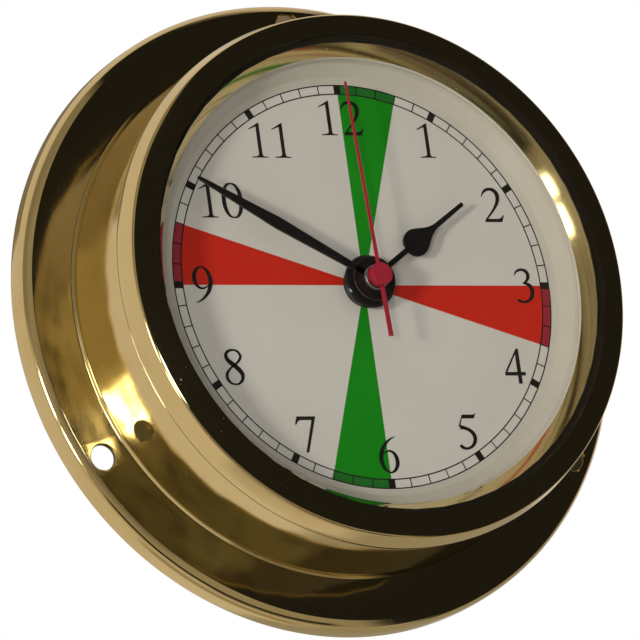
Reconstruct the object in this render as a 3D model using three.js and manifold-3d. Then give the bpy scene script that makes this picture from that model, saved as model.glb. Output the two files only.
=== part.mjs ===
// Round ship's clock: a spun brass case that lies flat on a wall, a brass front that pushes into it with
// glass, dial and hands, and a quartz movement behind the dial. All sizes are millimetres.
// The wall is the plane y = 0, the dial faces -y and twelve o'clock is +z. Inside the clock group x is
// right, y is up and z is the height in front of the wall.
import * as THREE from 'three';
import { mergeVertices } from 'three/addons/utils/BufferGeometryUtils.js';
import Module from 'manifold-3d';

const wasm = await Module();
wasm.setup();

// Case
const wallRadius = 52.9; // outside of the case wall
const flangeWidth = 10.6; // rim outside the wall
const flangeHeight = 5.7; // front face of the flange
const rimRound = 2;
const sheet = 1; // brass sheet of the case
const footFillet = 1.4; // between wall and flange
const screwCount = 3;
const screwHoleRadius = 2.65;
const screwOffset = 5.6; // hole centre outside the wall
const firstScrewAngle = 90; // degrees from +x, the hole at twelve o'clock

// Front ring
const frontOverhang = 0.1; // front ring wider than the wall
const frontSide = 1.3; // straight side above the seam
const seamGap = 0.25; // fine line between front ring and case
const crownWidth = 5.1;
const crownRise = 5.7;
const lipWidth = 0.5; // thin lip in front of the glass
const lipThickness = 0.35;
const lipSink = 0.2; // lip edge below the top of the crown
const skirtGap = 0.3; // between skirt and case wall
const skirtWall = 1.6;
const skirtLength = 13.8;
const snapWidth = 1.1;
const snapReach = 1.4; // how far the snap ring stands in from the skirt
const snapMouth = 14; // degrees left open
const sealWidth = 1.4;
const sealOffset = 3.45; // groove above the end of the skirt
const grooveDepth = 0.8;

// Dial and glass
const dialTop = 23.2; // printed face above the wall
const dialThickness = 0.6;
const carrierThickness = 1.4;
const glassThickness = 1;
const glassClearance = 0.2; // above the second hand
const gasketThickness = 0.35;
const coneInset = 1.1; // upper edge of the cone inside the lip
const coneWidth = 2.1;
const coneDrop = 3.25; // height of the cone
const coneEdge = 1.2; // straight edge below the cone
const coneSheet = 0.6;
const stackGap = 0.1; // between stacked pieces
const fitGap = 0.2; // round pieces inside the skirt

// Hands, angles clockwise from twelve, at 1:49:59
const hourAngle = 55;
const minuteAngle = 299.95;
const secondAngle = 357;
const handThickness = 0.4;
const neckRadius = 4; // threaded neck through the dial
const neckRise = 1.7; // neck above the dial
const nutRadius = 5;
const nutHeight = 1.2;
const hourHandGap = 0.5; // above the neck
const hourHubRadius = 5.3;
const hourHubHeight = 1.1;
const hourLength = 27.6;
const hourNeckHalf = 0.55;
const hourBulb = 13.8; // widest place of the spade
const hourBulbHalf = 2.75;
const hourTaper = 5.8; // from there to the narrow point
const minuteHandGap = 1; // above the hour hub
const minuteHubRadius = 4.4;
const minuteLength = 40;
const minuteBelly = 22;
const minuteBellyHalf = 1.25;
const minuteNutRadius = 2.45;
const minuteNutHeight = 0.8;
const secondHandGap = 0.6; // above the minute nut
const bossRadius = 2.75;
const bossHeight = 1.6;
const bladeRise = 0.6; // blade above the underside of the boss
const secondThickness = 0.25;
const secondLength = 38.8;
const secondTail = 12.2;

// Movement
const movementCorner = 3;
const shell = 1.2;
const rearShellDepth = 6.8;
const wheelHeadroom = 1.25;
const washerThickness = 0.4;
const washerWidth = 5;
const batteryRadius = 7.1;
const batteryLength = 49;
const nubRadius = 2.7;
const nubLength = 1.2;
const contactRoom = 1.4; // beside each end of the battery
const contactStrip = 0.4;
const contactHalf = 5;
const bayGap = 0.15;
const bayWall = 0.9;
const bayFloor = 0.4;
const plateThickness = 1;
const plateInset = 1.1;
const footMargin = 1.72; // gear plate beyond the bridge's posts
const headMargin = 6.1; // movement beyond the coil's core
const plateGap = 0.3;

// Wheels
const wheelThickness = 0.9;
const firstLevel = 0.9; // first wheel above the gear plate
const levelStep = 1.65;
const pinionExtra = 0.25;
const runGap = 0.07; // a shaft in its hole
const arborRadius = 0.5;
const studRadius = 0.68;
const secondArborRadius = 0.78;
const cannonRadius = 1.6;
const hourTubeWall = 0.95;
const rotorPinionTeeth = 8;
const stepWheelTeeth = 40;
const stepPinionTeeth = 8;
const secondWheelTeeth = 48;
const secondPinionTeeth = 8;
const thirdWheelTeeth = 60;
const thirdPinionTeeth = 8;
const centreWheelTeeth = 64;
const cannonTeeth = 12;
const minuteWheelTeeth = 36;
const minutePinionTeeth = 10;
const hourWheelTeeth = 40;
const settingTeeth = 12;
const toothAbove = 0.75; // above and below the pitch circle, in modules
const toothBelow = 1.1;
const thirdDistance = 9.36;
const minuteDistance = 8.4;
const stepDistance = 7;
const rotorDistance = 6;
const thirdDirection = 180; // degrees from +x, seen from the front
const minuteDirection = 20;
const settingDirection = 110;
const stepDirection = -20;
const magnetRadius = 2.5;
const magnetHeight = 1.9;
const settingShaft = 1.2;
const knobRadius = 5;
const knobHeight = 2.8;
const knobFlutes = 12;
const fluteDepth = 0.5;
const bridgeThickness = 0.7;
const bridgeMargin = 1.2;
const bridgeSpan = 5.5; // between its posts
const postRadius = 0.9;

// Motor and circuit
const statorThickness = 0.8;
const statorRise = 0.7; // above the second wheel's level
const statorHole = 3;
const statorMargin = 0.8;
const statorLeg = 4;
const coilRadius = 4.2;
const barrelRadius = 2.2;
const coilSpacing = 0.6; // coil to the side of the movement
const coilLow = 1;
const coilLength = 15;
const coilFlange = 0.8;
const coreWidth = 2.8;
const coreThickness = 0.8;
const coreEnd = 5; // core beyond the coil at the top
const screwRadius = 0.8;
const screwHead = 1.6;
const screwHeadHeight = 0.8;
const pillarRadius = 1.7;
const boardThickness = 0.8;
const boardGap = 2; // between board and third wheel
const boardInset = 1.6;
const boardRise = 4.85; // above the gear plate
const crystalRadius = 1;
const crystalLength = 6;
const chipRadius = 3;
const chipHeight = 1.1;

// Facets round a full circle
const ringFacets = 60;
const discFacets = 48;
const hubFacets = 32;
const shaftFacets = 16;

// Heights, from the dial to the front and then from the dial to the back
const hourHandLow = dialTop + neckRise + hourHandGap;
const minuteHandLow = hourHandLow + hourHubHeight + minuteHandGap;
const minuteNutLow = minuteHandLow + handThickness + stackGap;
const minuteNutTop = minuteNutLow + minuteNutHeight;
const bossLow = minuteNutTop + secondHandGap;
const secondHandLow = bossLow + bladeRise;
const glassBottom = bossLow + bossHeight + glassClearance;
const glassTop = glassBottom + glassThickness;
const lipBottom = glassTop + stackGap;
const lipTop = lipBottom + lipThickness;
const crownTop = lipTop + lipSink;
const crownCentre = crownTop - crownRise;
const seam = crownCentre - frontSide;
const caseHeight = seam - seamGap;
const gasketBottom = glassBottom - stackGap - gasketThickness;
const coneTop = gasketBottom - stackGap;
const dialBottom = dialTop - dialThickness;
const carrierTop = dialBottom - stackGap;
const carrierBottom = carrierTop - carrierThickness;
const washerTop = carrierBottom - stackGap;
const movementTop = washerTop - washerThickness - stackGap;
const frontInside = movementTop - shell;
const plateTop = frontInside - wheelHeadroom - wheelThickness - 5 * levelStep - firstLevel;
const plateBottom = plateTop - plateThickness;
const backInside = plateBottom - plateGap;
const movementBack = backInside - shell;
const splitLevel = movementBack + rearShellDepth;
const level = (n) => plateTop + firstLevel + (n - 1) * levelStep;
const bearingTop = movementTop - shell / 2;
const statorLow = level(2) + statorRise;
const coreLow = statorLow + statorThickness + stackGap;
const coreHigh = coreLow + coreThickness;
const boardLow = plateTop + boardRise;

// Radii and places across the clock
const rimRadius = wallRadius + flangeWidth;
const frontRadius = wallRadius + frontOverhang;
const lipRadius = frontRadius - crownWidth - lipWidth;
const coneOuterRadius = lipRadius - coneInset;
const coneInnerRadius = coneOuterRadius - coneWidth;
const caseBore = wallRadius - sheet;
const skirtRadius = caseBore - skirtGap;
const cavityRadius = skirtRadius - skirtWall;
const stackRadius = cavityRadius - fitGap;
const skirtBottom = seam - skirtLength;
const snapTop = carrierBottom - stackGap;
const snapBottom = snapTop - snapWidth;
const sealLevel = skirtBottom + sealOffset;
const neckBore = cannonRadius + runGap + hourTubeWall + runGap;
const bayEnd = batteryLength / 2 + nubLength;
const movementInside = bayEnd + contactRoom; // to either side
const movementHalf = movementInside + shell;
const batteryHeight = movementTop - bayFloor - bayGap - batteryRadius;
const plateHalf = movementInside - plateInset;

const degrees = (angle) => (angle * Math.PI) / 180;
const polar = (radius, way) => [radius * Math.cos(degrees(way)), radius * Math.sin(degrees(way))];
const moduleOf = (distance, teethA, teethB) => (2 * distance) / (teethA + teethB);
const trainModule = {
  rotor: moduleOf(rotorDistance, rotorPinionTeeth, stepWheelTeeth),
  step: moduleOf(stepDistance, stepPinionTeeth, secondWheelTeeth),
  second: moduleOf(thirdDistance, secondPinionTeeth, thirdWheelTeeth),
  third: moduleOf(thirdDistance, thirdPinionTeeth, centreWheelTeeth),
  cannon: moduleOf(minuteDistance, cannonTeeth, minuteWheelTeeth),
  minute: moduleOf(minuteDistance, minutePinionTeeth, hourWheelTeeth),
};
const tipRadius = (teeth, module) => (teeth * module) / 2 + toothAbove * module;
const thirdAxis = polar(thirdDistance, thirdDirection);
const minuteAxis = polar(minuteDistance, minuteDirection);
const stepAxis = polar(stepDistance, stepDirection);
const rotorAxis = polar(stepDistance + rotorDistance, stepDirection);
const settingStep = polar((trainModule.cannon * (minuteWheelTeeth + settingTeeth)) / 2, settingDirection);
const settingAxis = [minuteAxis[0] + settingStep[0], minuteAxis[1] + settingStep[1]];
const coilX = movementInside - coilSpacing - coilRadius;
const coilHigh = coilLow + coilLength;
const statorLeft = rotorAxis[0] - statorHole - statorMargin;
const screwPlaces = [[coilX, rotorAxis[1]], [coilX, coilHigh + coreEnd / 2]];
const stepWheelFoot = stepAxis[1] - tipRadius(stepWheelTeeth, trainModule.rotor);
const bridgePostY = stepWheelFoot - postRadius - plateGap;
const bridgePostX = statorLeft - postRadius - plateGap;
const bridgePosts = [[bridgePostX - bridgeSpan, bridgePostY], [bridgePostX, bridgePostY]];
const plateFoot = bridgePostY - postRadius - footMargin;
const bayTop = plateFoot - plateGap - bayWall;
const batteryPlace = bayTop - bayGap - batteryRadius;
const insideLow = batteryPlace - batteryRadius - bayGap;
const insideHigh = coilHigh + coreEnd + headMargin;
const boardLeft = -plateHalf;
const boardRight = settingAxis[0] - settingShaft - plateGap;
const boardBottom = thirdAxis[1] + tipRadius(thirdWheelTeeth, trainModule.second) + boardGap;
const boardTop = insideHigh - boardInset;
const boardMiddle = (boardBottom + boardTop) / 2;
const pillarInset = 2 * pillarRadius;
const boardPillars = [[boardLeft + pillarInset, boardMiddle], [boardRight - pillarInset, boardMiddle]];

// Materials
function paint(color, roughness, metalness) {
  return new THREE.MeshStandardMaterial({ color, roughness, metalness });
}

const brass = paint(0xc9a24a, 0.18, 1);
const clearGlass = paint(0xe6eef0, 0.05, 0);
const dialWhite = paint(0xe9e4dc, 0.5, 0);
const handBlack = paint(0x161412, 0.4, 0);
const handCrimson = paint(0x9c1530, 0.4, 0);
const steel = paint(0xc4c4c0, 0.3, 1);
const blackPlastic = paint(0x1f1f20, 0.5, 0);
const whitePlastic = paint(0xe4e0d4, 0.5, 0);
const rubber = paint(0x1a1a1a, 0.8, 0);
const copper = paint(0xb0603a, 0.35, 1);
const greenBoard = paint(0x2e5c36, 0.5, 0);
const batteryJacket = paint(0x2c4f7c, 0.35, 0);

// A closed body from a geometry, its faces turned outwards
function solidOf(geometry) {
  geometry.deleteAttribute('normal');
  geometry.deleteAttribute('uv');
  const merged = mergeVertices(geometry);
  const points = merged.attributes.position.array;
  const triangles = [];
  const corner = (i) => new THREE.Vector3(points[3 * i], points[3 * i + 1], points[3 * i + 2]);
  let volume = 0;
  for (let i = 0; i < merged.index.count; i += 3) {
    const [a, b, c] = merged.index.array.slice(i, i + 3);
    if (a === b || b === c || a === c) continue;
    triangles.push(a, b, c);
    volume += corner(a).dot(corner(b).cross(corner(c)));
  }
  if (volume < 0) triangles.reverse();
  const mesh = new wasm.Mesh({
    numProp: 3,
    vertProperties: new Float32Array(points),
    triVerts: new Uint32Array(triangles),
  });
  return new wasm.Manifold(mesh);
}

function named(name, solid, material) {
  const { vertProperties, triVerts } = solid.getMesh();
  const geometry = new THREE.BufferGeometry();
  geometry.setAttribute('position', new THREE.BufferAttribute(vertProperties, 3));
  geometry.setIndex(new THREE.BufferAttribute(triVerts, 1));
  geometry.computeVertexNormals();
  const mesh = new THREE.Mesh(geometry, material);
  mesh.name = name;
  return mesh;
}

// A ring turned round the clock's axis from a closed outline of [radius, height] points
function turned(outline, facets = discFacets) {
  const points = [...outline, outline[0]].map(([radius, height]) => new THREE.Vector2(radius, height));
  return solidOf(new THREE.LatheGeometry(points, facets).rotateX(Math.PI / 2));
}

function tube(outer, inner, low, high, facets = shaftFacets) {
  return turned([[inner, low], [outer, low], [outer, high], [inner, high]], facets);
}

function rod(radius, low, high, facets = shaftFacets) {
  const cylinder = new THREE.CylinderGeometry(radius, radius, high - low, facets);
  return solidOf(cylinder.rotateX(Math.PI / 2).translate(0, 0, (low + high) / 2));
}

function block(x0, x1, y0, y1, low, high) {
  const box = new THREE.BoxGeometry(x1 - x0, y1 - y0, high - low);
  return solidOf(box.translate((x0 + x1) / 2, (y0 + y1) / 2, (low + high) / 2));
}

function plate(shape, low, high, curveSegments = 8) {
  const settings = { depth: high - low, bevelEnabled: false, curveSegments };
  return solidOf(new THREE.ExtrudeGeometry(shape, settings).translate(0, 0, low));
}

const flat = (outline) => new THREE.Shape(outline.map(([x, y]) => new THREE.Vector2(x, y)));
const moved = (solid, [x, y]) => solid.translate([x, y, 0]);

// Bored right through, wider than the shaft by the running gap
function bored(solid, places, radius) {
  let body = solid;
  const { min, max } = solid.boundingBox();
  for (const place of places) {
    body = body.subtract(moved(rod(radius + runGap, min[2] - 1, max[2] + 1), place));
  }
  return body;
}

// Points along part of an ellipse, from and to in degrees, as [radius, height]
function arc(centreRadius, centreHeight, width, rise, from, to, steps) {
  const points = [];
  for (let i = 0; i <= steps; i += 1) {
    const angle = degrees(from + ((to - from) * i) / steps);
    points.push([centreRadius + width * Math.cos(angle), centreHeight + rise * Math.sin(angle)]);
  }
  return points;
}

// Teeth round a centre at the origin, one tooth pointing in the direction phase, in radians
function toothed(teeth, module, phase, low, high) {
  const pitch = (2 * Math.PI) / teeth;
  const tip = tipRadius(teeth, module);
  const root = (teeth * module) / 2 - toothBelow * module;
  const outline = [];
  for (let i = 0; i < teeth; i += 1) {
    for (const [share, radius] of [[-0.27, root], [0, tip], [0.27, root]]) {
      const angle = phase + (i + share) * pitch;
      outline.push([radius * Math.cos(angle), radius * Math.sin(angle)]);
    }
  }
  return plate(flat(outline), low, high);
}

// Phase of a wheel that meshes with a wheel of known phase and lies in the given direction from it
function meshed(phase, direction, teeth, otherTeeth) {
  return direction + Math.PI - ((phase - direction) * teeth) / otherTeeth + Math.PI / otherTeeth;
}

const thirdWay = degrees(thirdDirection);
const minuteWay = degrees(minuteDirection);
const stepWay = degrees(stepDirection);
const phase = {};
phase.second = 0;
phase.third = meshed(phase.second, thirdWay, secondPinionTeeth, thirdWheelTeeth);
phase.centre = meshed(phase.third, thirdWay + Math.PI, thirdPinionTeeth, centreWheelTeeth);
phase.step = meshed(phase.second, stepWay, secondWheelTeeth, stepPinionTeeth);
phase.rotor = meshed(phase.step, stepWay, stepWheelTeeth, rotorPinionTeeth);
phase.minute = meshed(0, minuteWay, cannonTeeth, minuteWheelTeeth);
phase.hour = meshed(phase.minute, minuteWay + Math.PI, minutePinionTeeth, hourWheelTeeth);
phase.setting = meshed(phase.minute, degrees(settingDirection), minuteWheelTeeth, settingTeeth);

const wheelAt = (teeth, module, turn, n) => toothed(teeth, module, turn, level(n), level(n) + wheelThickness);

function pinionAt(teeth, module, turn, n) {
  return toothed(teeth, module, turn, level(n) - pinionExtra, level(n) + wheelThickness + pinionExtra);
}

function caseBody() {
  const inner = flangeHeight - sheet;
  const roundCentre = [rimRadius - rimRound, flangeHeight - rimRound];
  const footCentre = [wallRadius + footFillet, flangeHeight + footFillet];
  const outline = [
    [rimRadius, 0],
    ...arc(...roundCentre, rimRound, rimRound, 0, 90, 4),
    ...arc(...footCentre, footFillet, footFillet, 270, 180, 3),
    [wallRadius, caseHeight],
    [caseBore, caseHeight],
    [caseBore, footCentre[1]],
    [caseBore + sheet, inner],
    [roundCentre[0], inner],
    [rimRadius - sheet, roundCentre[1]],
    [rimRadius - sheet, 0],
  ];
  let body = turned(outline, ringFacets);
  for (let i = 0; i < screwCount; i += 1) {
    const hole = rod(screwHoleRadius, 0, flangeHeight + sheet, 20);
    const direction = firstScrewAngle + (360 / screwCount) * i;
    body = body.subtract(moved(hole, polar(wallRadius + screwOffset, direction)));
  }
  return named('case_body', body, brass);
}

function bezelRing() {
  const outline = [
    [lipRadius, lipTop],
    [lipRadius, lipBottom],
    [cavityRadius, lipBottom],
    [cavityRadius, snapTop + stackGap],
    [cavityRadius + grooveDepth, snapTop + stackGap],
    [cavityRadius + grooveDepth, snapBottom - stackGap],
    [cavityRadius, snapBottom - stackGap],
    [cavityRadius, skirtBottom],
    [skirtRadius, skirtBottom],
    [skirtRadius, sealLevel],
    [skirtRadius - grooveDepth, sealLevel],
    [skirtRadius - grooveDepth, sealLevel + sealWidth],
    [skirtRadius, sealLevel + sealWidth],
    [skirtRadius, seam],
    [frontRadius, seam],
    ...arc(frontRadius - crownWidth, crownCentre, crownWidth, crownRise, 0, 90, 5),
  ];
  return named('bezel_ring', turned(outline, ringFacets), brass);
}

function skirtSeal() {
  const inner = skirtRadius - grooveDepth + stackGap;
  const [low, high] = [sealLevel + stackGap, sealLevel + sealWidth - stackGap];
  return named('skirt_seal', tube(caseBore - stackGap, inner, low, high, ringFacets), rubber);
}

function glassPane() {
  return named('glass', rod(stackRadius, glassBottom, glassTop, discFacets), clearGlass);
}

function glassGasket() {
  const inner = coneOuterRadius + fitGap;
  const gasket = tube(stackRadius, inner, gasketBottom, gasketBottom + gasketThickness, discFacets);
  return named('glass_gasket', gasket, rubber);
}

// Cone in front of the dial, with a skirt that stands on the dial's edge
function glassRing() {
  const coneFoot = coneTop - coneDrop;
  const outline = [
    [coneInnerRadius, coneFoot],
    [coneInnerRadius, coneFoot - coneEdge],
    [coneInnerRadius + coneSheet, coneFoot - coneEdge],
    [coneInnerRadius + coneSheet, coneFoot - coneSheet / 4],
    [coneOuterRadius + coneSheet / 2, coneTop - coneSheet],
    [stackRadius - coneSheet, coneTop - coneSheet],
    [stackRadius - coneSheet, dialTop + stackGap],
    [stackRadius, dialTop + stackGap],
    [stackRadius, coneTop],
    [coneOuterRadius, coneTop],
  ];
  return named('glass_ring', turned(outline), brass);
}

function dialPlate() {
  const dial = tube(stackRadius, neckRadius + fitGap, dialBottom, dialTop, discFacets);
  return named('dial', dial, dialWhite);
}

function dialCarrier() {
  const carrier = tube(stackRadius, neckRadius + fitGap, carrierBottom, carrierTop, discFacets);
  return named('dial_carrier', carrier, blackPlastic);
}

// Open ring in the groove of the skirt, its mouth at the bottom
function carrierSnapRing() {
  const outer = cavityRadius + grooveDepth - stackGap;
  const inner = cavityRadius - snapReach;
  const half = degrees(snapMouth / 2);
  const bottom = degrees(-90);
  const shape = new THREE.Shape();
  shape.absarc(0, 0, outer, bottom + half, bottom - half + 2 * Math.PI, false);
  shape.absarc(0, 0, inner, bottom - half + 2 * Math.PI, bottom + half, true);
  return named('carrier_snap_ring', plate(shape, snapBottom, snapTop, 32), steel);
}

function roundedBox(half, low, high, corner) {
  const shape = new THREE.Shape();
  const [side, foot, head] = [half - corner, low + corner, high - corner];
  shape.absarc(side, head, corner, 0, Math.PI / 2, false);
  shape.absarc(-side, head, corner, Math.PI / 2, Math.PI, false);
  shape.absarc(-side, foot, corner, Math.PI, Math.PI * 1.5, false);
  shape.absarc(side, foot, corner, Math.PI * 1.5, Math.PI * 2, false);
  return shape;
}

const movementShape = roundedBox(movementHalf, insideLow - shell, insideHigh + shell, movementCorner);
const insideShape = roundedBox(movementInside, insideLow, insideHigh, Math.max(movementCorner - shell, 0.1));

// The room that the battery needs, along x
function bayRoom() {
  const radius = batteryRadius + bayGap;
  const cylinder = new THREE.CylinderGeometry(radius, radius, 2 * movementInside, 32);
  return solidOf(cylinder.rotateZ(Math.PI / 2).translate(0, batteryPlace, batteryHeight));
}

function movementFrontCase() {
  const rim = splitLevel + stackGap;
  const wall = block(-movementInside, movementInside, bayTop, bayTop + bayWall, rim, bearingTop);
  let body = plate(movementShape, rim, movementTop, 3);
  body = body.subtract(plate(insideShape, rim - shell, frontInside, 3));
  body = body.add(wall);
  body = body.subtract(bayRoom());
  body = body.add(rod(neckRadius, bearingTop, dialTop + neckRise, hubFacets));
  body = body.subtract(rod(neckBore, frontInside - shell, dialTop + neckRise + shell, hubFacets));
  body = body.add(moved(rod(studRadius, level(5) - pinionExtra, bearingTop), minuteAxis));
  for (const place of [thirdAxis, settingAxis]) {
    body = body.subtract(moved(rod(arborRadius + runGap, frontInside - shell, bearingTop), place));
  }
  return named('movement_front_case', body, blackPlastic);
}

function movementRearCase() {
  const wallLow = backInside - shell / 2;
  const wall = block(-movementInside, movementInside, bayTop, bayTop + bayWall, wallLow, splitLevel);
  const mouthHalf = bayEnd + bayGap;
  const [low, high] = [movementBack - shell, backInside + shell];
  const mouth = block(-mouthHalf, mouthHalf, insideLow, bayTop, low, high);
  let body = plate(movementShape, movementBack, splitLevel, 3);
  body = body.subtract(plate(insideShape, backInside, splitLevel + shell, 3));
  body = body.add(wall);
  body = body.subtract(bayRoom());
  body = body.subtract(mouth);
  return named('movement_rear_case', bored(body, [settingAxis], settingShaft), blackPlastic);
}

function movementWasher() {
  const low = washerTop - washerThickness;
  const washer = tube(neckRadius + washerWidth, neckRadius + fitGap, low, washerTop, hubFacets);
  return named('movement_washer', washer, rubber);
}

function movementNut() {
  const low = dialTop + stackGap;
  const nut = tube(nutRadius, neckRadius + runGap, low, low + nutHeight, hubFacets);
  return named('movement_nut', nut, brass);
}

function battery() {
  const half = batteryLength / 2;
  const outline = [
    [0, -half],
    [batteryRadius, -half],
    [batteryRadius, half],
    [nubRadius, half],
    [nubRadius, bayEnd],
    [0, bayEnd],
  ];
  const lathe = new THREE.LatheGeometry(outline.map(([r, y]) => new THREE.Vector2(r, y)), 32);
  const cell = solidOf(lathe.rotateZ(-Math.PI / 2).translate(0, batteryPlace, batteryHeight));
  return named('battery', cell, batteryJacket);
}

// Spring strip at one end of the battery, bent towards it in the middle
function batteryContact(name, side, end) {
  const touch = end + stackGap;
  const back = movementInside - stackGap - contactStrip;
  const shape = flat([
    [back, -contactHalf],
    [touch, 0],
    [back, contactHalf],
    [back + contactStrip, contactHalf],
    [touch + contactStrip, 0],
    [back + contactStrip, -contactHalf],
  ]);
  const low = batteryHeight - contactHalf;
  const contact = plate(shape, low, low + 2 * contactHalf).translate([0, batteryPlace, 0]);
  return named(name, side > 0 ? contact : contact.mirror([1, 0, 0]), steel);
}

function gearPlate() {
  let body = block(-plateHalf, plateHalf, plateFoot, insideHigh - plateInset, plateBottom, plateTop);
  for (const place of screwPlaces) {
    body = body.add(moved(rod(pillarRadius, plateBottom, statorLow - stackGap), place));
  }
  for (const place of boardPillars) {
    body = body.add(moved(rod(pillarRadius, plateBottom, boardLow - stackGap), place));
  }
  const left = coilX - coilRadius - plateGap;
  const [low, high] = [coilLow - plateGap, coilHigh + plateGap];
  const notch = block(left, movementHalf, low, high, plateBottom - 1, plateTop + 1);
  body = bored(body.subtract(notch), screwPlaces, screwRadius);
  body = bored(body, [[0, 0], thirdAxis, stepAxis, rotorAxis], arborRadius);
  return named('gear_plate', bored(body, [settingAxis], settingShaft), blackPlastic);
}

const bridgeTop = level(4) - plateGap;

// Small bridge over the step wheel and the rotor, on two posts
function trainBridge() {
  const [first, second] = bridgePosts;
  const shape = flat([
    [first[0] - bridgeMargin, first[1] - bridgeMargin],
    [second[0] + bridgeMargin, second[1] - bridgeMargin],
    [rotorAxis[0] + bridgeMargin, rotorAxis[1] - bridgeMargin],
    [rotorAxis[0] + bridgeMargin, rotorAxis[1] + bridgeMargin],
    [stepAxis[0], stepAxis[1] + bridgeMargin],
    [stepAxis[0] - bridgeMargin, stepAxis[1]],
  ]);
  let body = plate(shape, bridgeTop - bridgeThickness, bridgeTop);
  for (const place of bridgePosts) {
    body = body.add(moved(rod(postRadius, plateTop + stackGap, bridgeTop), place));
  }
  return named('train_bridge', bored(body, [stepAxis, rotorAxis], arborRadius), brass);
}

function rotor() {
  let body = pinionAt(rotorPinionTeeth, trainModule.rotor, phase.rotor, 1);
  body = body.add(rod(arborRadius, plateBottom + stackGap, bridgeTop));
  body = body.add(rod(magnetRadius, level(2), level(2) + magnetHeight, 24));
  return named('rotor', moved(body, rotorAxis), steel);
}

function stepWheel() {
  let body = wheelAt(stepWheelTeeth, trainModule.rotor, phase.step, 1);
  body = body.add(pinionAt(stepPinionTeeth, trainModule.step, phase.step, 2));
  body = body.add(rod(arborRadius, plateBottom + stackGap, bridgeTop));
  return named('step_wheel', moved(body, stepAxis), whitePlastic);
}

function secondWheel() {
  let body = wheelAt(secondWheelTeeth, trainModule.step, phase.second, 2);
  body = body.add(pinionAt(secondPinionTeeth, trainModule.second, phase.second, 3));
  body = body.add(rod(secondArborRadius, plateTop + stackGap, secondHandLow));
  body = body.add(rod(arborRadius, plateBottom + stackGap, plateTop + firstLevel));
  return named('second_wheel', body, whitePlastic);
}

function thirdWheel() {
  let body = wheelAt(thirdWheelTeeth, trainModule.second, phase.third, 3);
  body = body.add(pinionAt(thirdPinionTeeth, trainModule.third, phase.third, 4));
  body = body.add(rod(arborRadius, plateBottom + stackGap, bearingTop - stackGap));
  return named('third_wheel', moved(body, thirdAxis), whitePlastic);
}

function centreWheel() {
  const wheel = wheelAt(centreWheelTeeth, trainModule.third, phase.centre, 4);
  return named('centre_wheel', bored(wheel, [[0, 0]], cannonRadius), whitePlastic);
}

function cannonPinion() {
  const pinion = pinionAt(cannonTeeth, trainModule.cannon, 0, 5);
  const body = rod(cannonRadius, level(4) - pinionExtra, minuteNutTop, 24).add(pinion);
  return named('cannon_pinion', bored(body, [[0, 0]], secondArborRadius), brass);
}

function minuteWheel() {
  const pinionTop = level(6) + wheelThickness + pinionExtra;
  let body = wheelAt(minuteWheelTeeth, trainModule.cannon, phase.minute, 5);
  body = body.add(toothed(minutePinionTeeth, trainModule.minute, phase.minute, level(5), pinionTop));
  body = bored(body, [[0, 0]], studRadius);
  return named('minute_wheel', moved(body, minuteAxis), whitePlastic);
}

function hourWheel() {
  let body = wheelAt(hourWheelTeeth, trainModule.minute, phase.hour, 6);
  body = body.add(rod(cannonRadius + runGap + hourTubeWall, level(6), hourHandLow + handThickness, 24));
  return named('hour_wheel', bored(body, [[0, 0]], cannonRadius), whitePlastic);
}

// Fluted knob behind the movement, its shaft and the pinion that turns the minute wheel
function settingKnob() {
  const knobTop = movementBack - plateGap;
  const flutes = [];
  for (let i = 0; i < knobFlutes * 4; i += 1) {
    flutes.push(polar(knobRadius - (i % 4 < 2 ? 0 : fluteDepth), (90 / knobFlutes) * i));
  }
  let body = plate(flat(flutes), knobTop - knobHeight, knobTop);
  body = body.add(rod(settingShaft, knobTop - knobHeight, level(5)));
  body = body.add(pinionAt(settingTeeth, trainModule.cannon, phase.setting, 5));
  body = body.add(rod(arborRadius, level(5), bearingTop - stackGap));
  return named('setting_knob', moved(body, settingAxis), whitePlastic);
}

// Flat iron plate round the rotor, open towards the coil
function stator() {
  const reach = statorHole + statorMargin;
  const foot = rotorAxis[1] + reach;
  const head = coilHigh + statorMargin;
  const right = coilX + coreWidth / 2 + plateGap;
  const shape = flat([
    [statorLeft, rotorAxis[1] - reach],
    [right, rotorAxis[1] - reach],
    [right, foot],
    [statorLeft + statorLeg, foot],
    [statorLeft + statorLeg, head],
    [right, head],
    [right, coilHigh + coreEnd],
    [statorLeft, coilHigh + coreEnd],
  ]);
  let body = plate(shape, statorLow, statorLow + statorThickness);
  body = body.subtract(moved(rod(statorHole, statorLow - 1, coreLow + 1, 24), rotorAxis));
  return named('stator', bored(body, screwPlaces, screwRadius), steel);
}

function coilCore() {
  const half = coreWidth / 2;
  const [low, high] = [rotorAxis[1] - statorHole, coilHigh + coreEnd];
  const body = block(coilX - half, coilX + half, low, high, coreLow, coreHigh);
  return named('coil_core', bored(body, screwPlaces, screwRadius), steel);
}

// Turned round the coil's own axis, which runs along y
function spool(outline) {
  const lathe = new THREE.LatheGeometry(outline.map(([r, y]) => new THREE.Vector2(r, y)), 24);
  return solidOf(lathe.translate(coilX, 0, (coreLow + coreHigh) / 2));
}

function coilBobbin() {
  const body = spool([
    [0, coilLow],
    [coilRadius, coilLow],
    [coilRadius, coilLow + coilFlange],
    [barrelRadius, coilLow + coilFlange],
    [barrelRadius, coilHigh - coilFlange],
    [coilRadius, coilHigh - coilFlange],
    [coilRadius, coilHigh],
    [0, coilHigh],
  ]);
  const half = coreWidth / 2 + stackGap;
  const [low, high] = [coreLow - stackGap, coreHigh + stackGap];
  const slot = block(coilX - half, coilX + half, coilLow - 1, coilHigh + 1, low, high);
  return named('coil_bobbin', body.subtract(slot), blackPlastic);
}

function coilWinding() {
  const inner = barrelRadius + stackGap;
  const low = coilLow + coilFlange + stackGap;
  const high = coilHigh - coilFlange - stackGap;
  const outer = coilRadius - plateGap;
  const body = spool([[inner, low], [outer, low], [outer, high], [inner, high], [inner, low]]);
  return named('coil_winding', body, copper);
}

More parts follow.
